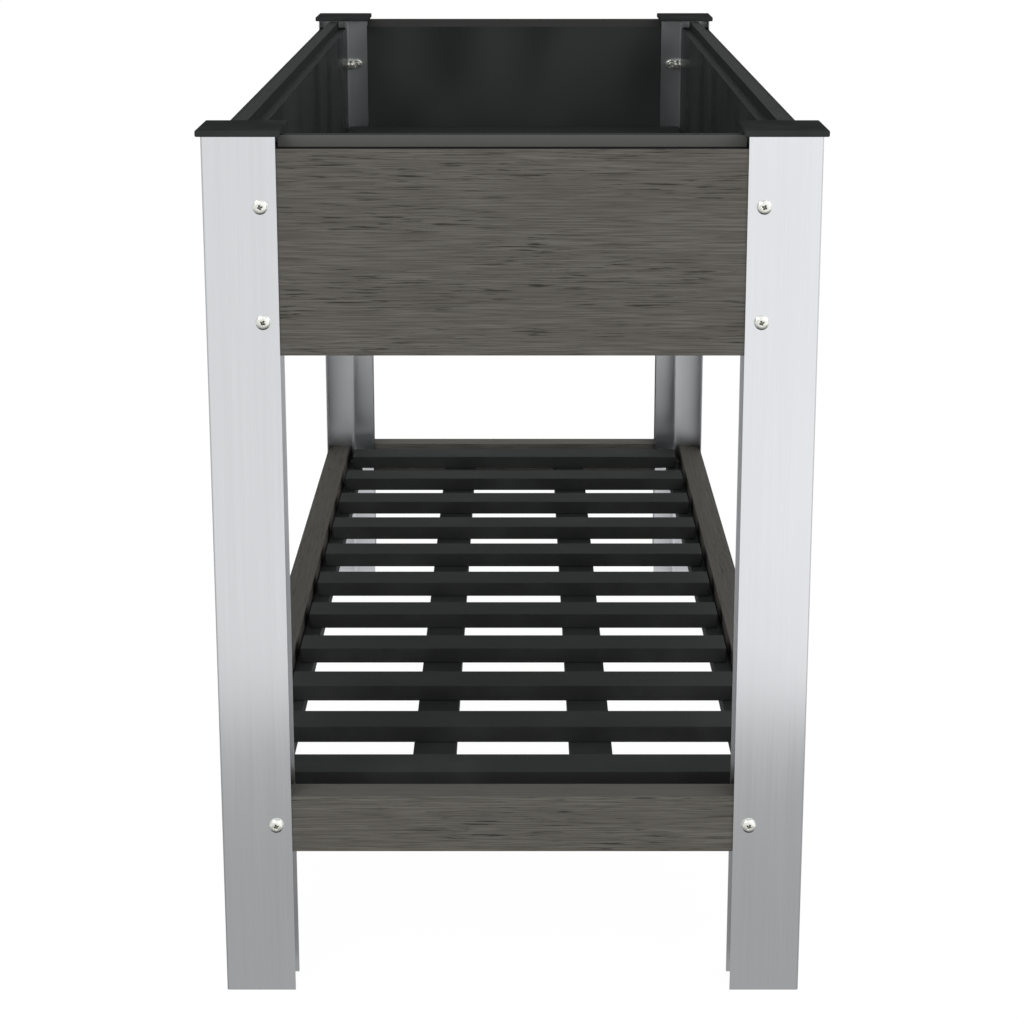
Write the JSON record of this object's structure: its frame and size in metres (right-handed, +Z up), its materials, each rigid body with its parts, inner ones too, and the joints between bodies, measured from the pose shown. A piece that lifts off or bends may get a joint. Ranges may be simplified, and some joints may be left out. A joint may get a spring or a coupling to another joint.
{
  "type": "raised planter",
  "caption": "Raised rectangular planter: slotted metal corner posts hold wood-composite boards, a lined bed on top and a slatted shelf below.",
  "frame": {"origin": "centre of the footprint, on the ground plane under the legs", "axes": "+Z up, +Y along the long side, +X along the short side; the front end faces -Y"},
  "size_m": [0.508, 1.208, 0.755],
  "materials": {
    "aluminium": "brushed, clear anodised",
    "composite": "wood-plastic composite with embossed grain",
    "black_plastic": "fine matte texture",
    "lining_plastic": "smooth, half gloss",
    "chrome": "bright zinc or stainless"
  },
  "bodies": {
    "root": {"front_left_post": "aluminium", "front_left_post_cap": "black_plastic", "front_right_post": "aluminium", "front_right_post_cap": "black_plastic", "back_right_post": "aluminium", "back_right_post_cap": "black_plastic", "back_left_post": "aluminium", "back_left_post_cap": "black_plastic", "front_bed_board": "composite", "front_shelf_rail": "composite", "front_lining": "lining_plastic", "front_bolt_left_top": "chrome", "front_bolt_right_top": "chrome", "front_bolt_left_middle": "chrome", "front_bolt_right_middle": "chrome", "front_bolt_left_bottom": "chrome", "front_bolt_right_bottom": "chrome", "right_bed_board": "composite", "right_shelf_rail": "composite", "right_lining": "lining_plastic", "right_bolt_left_top": "chrome", "right_bolt_right_top": "chrome", "right_bolt_left_middle": "chrome", "right_bolt_right_middle": "chrome", "right_bolt_left_bottom": "chrome", "right_bolt_right_bottom": "chrome", "back_bed_board": "composite", "back_shelf_rail": "composite", "back_lining": "lining_plastic", "back_bolt_left_top": "chrome", "back_bolt_right_top": "chrome", "back_bolt_left_middle": "chrome", "back_bolt_right_middle": "chrome", "back_bolt_left_bottom": "chrome", "back_bolt_right_bottom": "chrome", "left_bed_board": "composite", "left_shelf_rail": "composite", "left_lining": "lining_plastic", "left_bolt_left_top": "chrome", "left_bolt_right_top": "chrome", "left_bolt_left_middle": "chrome", "left_bolt_right_middle": "chrome", "left_bolt_left_bottom": "chrome", "left_bolt_right_bottom": "chrome", "bed_floor": "lining_plastic", "shelf_slat_1": "black_plastic", "shelf_slat_2": "black_plastic", "shelf_slat_3": "black_plastic", "shelf_slat_4": "black_plastic", "shelf_slat_5": "black_plastic", "shelf_slat_6": "black_plastic", "shelf_slat_7": "black_plastic", "shelf_slat_8": "black_plastic", "shelf_slat_9": "black_plastic", "shelf_slat_10": "black_plastic", "shelf_slat_11": "black_plastic", "shelf_bar_left_inner": "black_plastic", "shelf_bar_left_outer": "black_plastic", "shelf_bar_right_inner": "black_plastic", "shelf_bar_right_outer": "black_plastic"}
  },
  "joints": []
}
